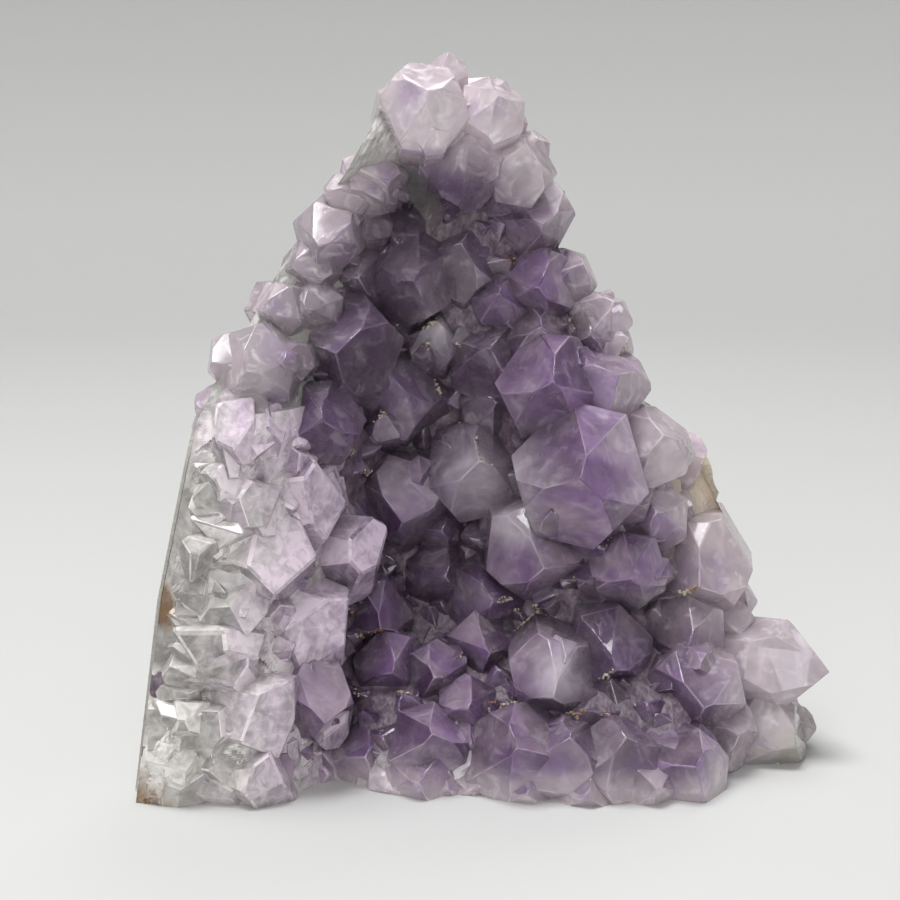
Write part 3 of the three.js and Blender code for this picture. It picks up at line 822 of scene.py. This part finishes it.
def quartz_splinter(length, width, chance):
    """A glassy lump that points up, its broken end at the origin."""
    planes = []
    for side in range(7):
        turn = math.radians(360 / 7 * (side + chance.uniform(-0.3, 0.3)))
        lean = chance.uniform(-0.22, 0.22)
        level = math.cos(lean)
        outward = np.array((math.cos(turn) * level, math.sin(turn) * level, math.sin(lean)))
        planes.append((outward, width / 2 * chance.uniform(0.8, 1.15) - math.sin(lean) * length / 2))
    for side in range(3):
        turn, tilt = 2.1 * side + chance.uniform(0, 1.4), chance.uniform(0.3, 1.0)
        slant = np.array((math.cos(turn) * math.sin(tilt), math.sin(turn) * math.sin(tilt), math.cos(tilt)))
        planes.append((slant, width * chance.uniform(0.0, 0.12)))
        far_end = length * math.cos(tilt) + width * chance.uniform(0.0, 0.3)
        planes.append((slant * np.array((1, 1, -1)), far_end))
    bm, _ = body_from_planes(planes, width * 0.035)
    growth = bm.loops.layers.uv.new("growth")
    tint = chance.random()
    for face in bm.faces:
        for loop in face.loops:
            loop[growth].uv = (1 + loop.vert.co.z / length, tint)
    return bm


def lay_splinters(group):
    chance = random.Random(5)
    for index in range(SPLINTERS):
        up = (index % SPLINTER_ROWS + chance.uniform(0.1, 0.9)) * (WALL_TOP - 1) / SPLINTER_ROWS
        left = edge_at(LEFT_EDGE, up)
        reach = (index // SPLINTER_ROWS + chance.uniform(0.4, 1.0)) * SPLINTER_ROWS / SPLINTERS
        across = between(left + 5, WALL_RIGHT + 3, reach)
        width = between(6.0, 8.5, smooth_rise(up, 20, 50)) * chance.uniform(0.75, 1.2)
        length = max(min(width * chance.uniform(1.4, 2.4), across - left - width * 0.4), 3.0)
        axis = facing(chance.uniform(66, 88), (up - 34) * 0.5 + chance.uniform(-14, 14))
        tip = Vector((across, bed_front(across, up) - width * chance.uniform(0.1, 0.4), up))
        body = quartz_splinter(length, width, chance)
        add_body(body, on_piece(tip, axis, chance.uniform(0, math.pi)), group)
    for across, depth, up, width, length, turn, rise in LARGE_SPLINTERS:
        placement = on_piece(Vector((across, depth, up)), facing(turn, rise), chance.uniform(0, math.pi))
        add_body(quartz_splinter(length, width, chance), placement, group)


splinters = bpy.data.collections.new("quartz_splinters")
lay_splinters(splinters)
wall = bent_slab("broken_wall", wall_x.shape[1] - 1, wall_x.shape[0] - 1, wall_point)


FAR_IN_FRONT, INSIDE_BACK = -60, 0.3        # mm


def before_back(share, height, side):
    """The space that the shoulder may fill: all that is in front of the bed's back."""
    z = height * BED_TOP
    x = across_at(share, z)
    return Vector((x, bed_back(x, z) - INSIDE_BACK if side else FAR_IN_FRONT, z))


limit = bent_slab("back_limit", 32, 24, before_back)
fused = Growth("fused_shoulder", {})
laid = fused.bodies(splinters, False)
fused_wall = fused.joined("UNION", {"Mesh": [fused.given("Geometry"), laid]})
within = fused.node("GeometryNodeObjectInfo", {}, {"Object": limit}, "Geometry")
sawn_wall = fused.sawn(fused.joined("INTERSECT", {"Mesh": [fused_wall, within]}))

glass = Finish("broken_quartz")
glass_place, glass_x, _, glass_z = glass.place()
glass_splits = split_faces(glass, glass_place, 2.6) + split_faces(glass, glass_place, 1.1) * 0.5
glass_off_face = glass.off_face(glass_place, 5)
glass_cloud = glass.cloud(glass_off_face, 7.0, 3.0, 0.6, 0.5)
glass_fine = glass.cloud(glass_off_face, 2.2, 4.0, 0.6, 0.8)
# Painted sheen: each facet of the broken quartz gets its own lighter or darker tone by the way it faces.
glass_facet_painted_sheen = glass.node("ShaderNodeTexNoise", {}, {
    "Vector": glass.facing(), "Scale": 2.2, "Detail": 1.0}).ramp(0.35, 0.65)
lilac = glass_x.ramp(-0.046, -0.022) * (glass.mapped("growth").ramp(0.1, 0.9) * 0.5 + 0.8)
lilac = (lilac + glass_z.ramp(0.046, 0.054) * 0.4 - 0.15 + (glass_cloud - 0.5) * 2.0).clipped()
# Painted shade: the lower left of the shoulder is greyed. The share below picks between the shaded and the
# lit copies of the glass's tints, from the painted sheen, this painted shade and the quartz's own clouds.
glass_painted_shade_zone = glass_z.hump(0.030, 0.014) * (1 - glass_x.ramp(-0.044, -0.034)) * 0.25
glass_painted_light_and_clouds = glass_facet_painted_sheen * 0.7 + (glass_fine - 0.5) * 1.5 + (glass_cloud - 0.5) * 1.2
glass_painted_light_and_clouds = (glass_painted_light_and_clouds + 0.33 - glass_painted_shade_zone).clipped()
glass_pale = glass.blend(glass_painted_light_and_clouds, (0.49, 0.465, 0.445), (0.96, 0.935, 0.89))
glass_lilac = glass.blend(glass_painted_light_and_clouds, (0.34, 0.22, 0.37), (0.87, 0.73, 0.84))
ripe = glass_x.ramp(-0.027, -0.015) * (1 - glass_z.ramp(0.044, 0.052))
glass_ripe = glass.blend(glass_painted_light_and_clouds, (0.15, 0.08, 0.20), (0.60, 0.46, 0.66))
glass_lilac = glass.blend(ripe * 0.45, glass_lilac, glass_ripe)
glass_colour = glass.blend(lilac, glass_pale, glass_lilac)
rust_spot = (glass_x.hump(-0.0480, 0.0022) * glass_z.hump(0.0300, 0.0030) * 2.0).clipped()
brown_corner = glass_x.hump(-0.052, 0.006) * glass_z.hump(0.0, 0.005)
stained = ((rust_spot + brown_corner) * 1.5 + (glass_fine - 0.5) * 3.0 - 0.5).clipped()
glass_colour = glass.blend(stained, glass_colour, (0.30, 0.17, 0.07))
# Painted shade: corners that other splinters close in are darkened, more so at the amethyst ends.
glass_painted_crease_shade = (1 - glass.stored("openness").ramp(0.25, 0.85)) * (0.34 + ripe * 0.25)
glass_colour = glass.blend(glass_painted_crease_shade, glass_colour, (0.20, 0.18, 0.19))
glass_solid = glass.principled({
    "Base Color": glass_colour, "Roughness": 0.10, "IOR": QUARTZ_IOR,
    "Normal": glass.bump(glass_splits, 0.2, 0.2)})
glass_clear = glass.principled({
    "Base Color": (0.98, 0.97, 0.98, 1.0), "Roughness": 0.05, "IOR": QUARTZ_IOR,
    "Transmission Weight": 1.0})
glass_body = glass.node("ShaderNodeMixShader", {}, {
    0: (0.45 + glass_painted_light_and_clouds * 0.4).clipped(), 1: glass_clear, 2: glass_solid})
broken_quartz = glass.surface(glass_body)

shoulder = fused.grown(sawn_wall, wall, "broken_quartz_shoulder", broken_quartz)
bpy.data.objects.remove(wall)
bpy.data.objects.remove(limit)
mark_openness(shoulder)
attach(shoulder, "root")
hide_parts("amethyst_druse")

# ---------------------------------------------------------------------------------------------------
# Mineral crumbs: tan and rusty iron-stained grains, settled and cemented in the creases where crystals
# meet, darkened almost to black at the bottom of the pocket as painted shade.

CRUMB_KINDS, CRUMB_FACES = 6, 9
CRUMB_LEFT, CRUMB_RIGHT, CRUMB_LOW, CRUMB_HIGH = -31, 36, 0.6, 80   # mm, where crumbs may lie
CREASE_ANGLE, CREASE_OPENNESS = 0.6, 0.70                           # radians, and share of open space
RUST_SPOTS = [(9, 52), (17, 31), (17, 12)]                          # [across, up] of rusty patches, mm


def crumb(chance):
    planes = []
    for _ in range(CRUMB_FACES):
        way = Vector((chance.gauss(0, 1), chance.gauss(0, 1), chance.gauss(0, 1))).normalized()
        planes.append((np.array(way), chance.uniform(0.35, 0.6)))
    for way in ((1, 0, 0), (-1, 0, 0), (0, 1, 0), (0, -1, 0), (0, 0, 1), (0, 0, -1)):
        planes.append((np.array(way), 0.6))
    return body_from_planes(planes, 0.02)[0]


loose_crumbs = bpy.data.collections.new("loose_crumbs")
chance = random.Random(33)
for _ in range(CRUMB_KINDS):
    add_body(crumb(chance), Matrix(), loose_crumbs)

strewn = Growth("strewn_crumbs", {
    "Spacing": 0.24 * MM, "Least size": 0.08 * MM, "Most size": 0.38 * MM, "Rust reach": 2.5 * MM})
edge_angle = strewn.node("GeometryNodeInputMeshEdgeAngle", {}, {}, 1)
crease = strewn.test("GREATER_THAN", edge_angle, CREASE_ANGLE)
spot = strewn.node("GeometryNodeInputPosition", {}, {})
level_spot = strewn.node("ShaderNodeVectorMath", {"operation": "MULTIPLY"}, {0: spot, 1: (1.0, 0.0, 1.0)})
crumb_patches = strewn.node("ShaderNodeTexNoise", {}, {"Scale": 110.0, "Detail": 2.0})
crumbly = strewn.test("GREATER_THAN", crumb_patches, 0.55)
for rust in RUST_SPOTS:
    off = strewn.node("ShaderNodeVectorMath", {"operation": "DISTANCE"}, {
        0: level_spot, 1: (rust[0] * MM, 0.0, rust[1] * MM)}, 1)
    crumbly = strewn.both("OR", crumbly, strewn.test("LESS_THAN", off, strewn.given("Rust reach")))
spot_across = strewn.node("ShaderNodeSeparateXYZ", {}, {0: spot})
spot_up = spot_across.node.outputs[2]
open_here = strewn.node("GeometryNodeInputNamedAttribute", {"data_type": "FLOAT"}, {"Name": "openness"})
crease = strewn.both("AND", crease, crumbly)
for operation, value, allowed in (
        ("GREATER_THAN", spot_across, CRUMB_LEFT * MM), ("LESS_THAN", spot_across, CRUMB_RIGHT * MM),
        ("GREATER_THAN", spot_up, CRUMB_LOW * MM), ("LESS_THAN", spot_up, CRUMB_HIGH * MM),
        ("LESS_THAN", open_here, CREASE_OPENNESS)):
    crease = strewn.both("AND", crease, strewn.test(operation, value, allowed))
lines = strewn.node("GeometryNodeMeshToCurve", {}, {"Mesh": strewn.given("Geometry"), "Selection": crease})
along = strewn.node("GeometryNodeCurveToPoints", {"mode": "LENGTH"}, {
    0: lines, "Length": strewn.given("Spacing")})
stray = strewn.chance((-2.5e-4,) * 3, (2.5e-4,) * 3, 5)
scattered = strewn.node("GeometryNodeSetPosition", {}, {0: along, "Offset": stray})
strewn_crumbs = strewn.node("GeometryNodeInstanceOnPoints", {}, {
    "Points": scattered, "Instance": strewn.bodies(loose_crumbs, True), "Pick Instance": True,
    "Selection": strewn.test("LESS_THAN", strewn.chance(0.0, 1.0, 7), 0.65),
    "Rotation": strewn.chance((-math.pi,) * 3, (math.pi,) * 3, 2),
    "Scale": strewn.chance(strewn.given("Least size"), strewn.given("Most size"), 3)})

ochre = Finish("iron_ochre")
ochre_place, ochre_x, _, ochre_z = ochre.place()
ochre_cloud = ochre.cloud(ochre_place, 9.0, 2.0)
ochre_grain = ochre.cloud(ochre_place, 0.8, 2.0)
ochre_tan = ochre.blend(ochre_grain.ramp(0.35, 0.65), (0.40, 0.32, 0.22), (0.72, 0.66, 0.54))
ochre_rust = ochre.blend(ochre_grain.ramp(0.35, 0.65), (0.13, 0.05, 0.015), (0.36, 0.18, 0.07))
rusty = ochre_cloud.ramp(0.60, 0.66)
for across, up in RUST_SPOTS:
    rusty = rusty + ochre_x.hump(across * MM, 0.004) * ochre_z.hump(up * MM, 0.004)
ochre_colour = ochre.blend(rusty.clipped(), ochre_tan, ochre_rust)
# Painted shade: crumbs at the bottom of the pocket are darkened almost to black.
pocket_painted_shade = (ochre_x.hump(-0.007, 0.009) * ochre_z.hump(0.034, 0.012) * 2.0).clipped()
ochre_colour = ochre.blend(pocket_painted_shade, ochre_colour, (0.035, 0.022, 0.02))
iron_ochre = ochre.surface(ochre.principled({"Base Color": ochre_colour, "Roughness": 0.4}))

crumbs = strewn.grown(strewn_crumbs, crystals, "mineral_crumbs", iron_ochre)
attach(crumbs, "root")
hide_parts("amethyst_druse")

# ---------------------------------------------------------------------------------------------------
# The host rock: the skin of the lava that the hollow formed in, still clinging to the quartz's back.
# It is dull, grey-brown and pitted with the smallest gas bubbles, some of them lined in dark green.

RIND, THINNEST_RIND, GAP = 2.4, 0.6, 0.3        # mm
RIND_SHARE, RIND_TONGUE, RIND_BARE_TOP = 0.8, 0.16, 0.2
RIND_TOP = 0.92                                 # share of the bed's height
RIND_COLUMNS, RIND_ROWS = 110, 100


def rind_reach(z):
    return RIND_SHARE + RIND_TONGUE * max(fade(z, 8, 24), hump(z, 43, 8))


def rind_point(share, height, side):
    z = height * BED_TOP * RIND_TOP
    start = RIND_BARE_TOP * smooth_rise(z, 52, 80)
    x = across_at(between(start, rind_reach(z), share), z)
    slope_x = (bed_back(x + 0.2, z) - bed_back(x - 0.2, z)) / 0.4
    slope_z = (bed_back(x, z + 1) - bed_back(x, z - 1)) / 2
    outward = Vector((-slope_x, 1, -slope_z)).normalized()
    thickness = RIND * (1 + 0.6 * lumps(x, z, 14, 8.0)) + 0.8 * lumps(x, z, 4, 12.0)
    thickness = between(0.5, max(thickness, THINNEST_RIND), smooth_rise(share, 0, 0.2))
    offset = GAP + thickness if side else GAP
    level = Vector((x, bed_back(x, z), z)) + outward * offset
    level.z = max(level.z, 0.0) if height else 0.0
    return level


rind = bent_slab("host_rock_skin", RIND_COLUMNS, RIND_ROWS, rind_point)

rock = Finish("host_rock")
rock_place, rock_x, rock_y, rock_z = rock.place()
rock_patch = rock.cloud(rock_place, 16.0, 6.0, 0.6)
rock_grain = rock.cloud(rock_place, 1.4, 6.0, 0.7)
bubbles = rock.node("ShaderNodeTexVoronoi", {}, {
    "Vector": rock_place.vector("ADD", rock_grain * 0.0008), "Scale": 1000.0 / 4.2})
kept_bubble = bubbles.other(1).vector("DOT_PRODUCT", (1.0, 0.0, 0.0), 1)
pits = (1 - bubbles.ramp(0.10, 0.24)) * kept_bubble.ramp(0.50, 0.60)
rock_base = rock.blend(rock_patch.ramp(0.35, 0.65), (0.20, 0.20, 0.165), (0.40, 0.35, 0.28))
rock_colour = rock.blend(rock_grain.ramp(0.45, 0.75) * 0.6, rock_base, (0.52, 0.47, 0.40))
cream = rock_x.ramp(0.027, 0.031) * rock_z.hump(0.043, 0.010) * 1.6 + (rock_grain - 0.5)
rock_colour = rock.blend(cream.clipped(), rock_colour, (0.66, 0.58, 0.46))
pale_edge = (1 - rock_y.ramp(-0.019, -0.014)) * (1 - rock_z.ramp(0.058, 0.062))
rock_colour = rock.blend(pale_edge * 0.85, rock_colour, (0.62, 0.60, 0.54))
rock_colour = rock.blend(pits * kept_bubble.ramp(0.6, 0.9) * 0.8, rock_colour, (0.085, 0.11, 0.08))
rock_relief = rock.bump(rock_grain + rock_patch - pits * 0.8, 0.9, 0.0014)
rind.data.materials.append(rock.surface(rock.principled({
    "Base Color": rock_colour, "Roughness": 0.88, "Normal": rock_relief})))
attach(rind, "root")
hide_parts("host_rock_rind")
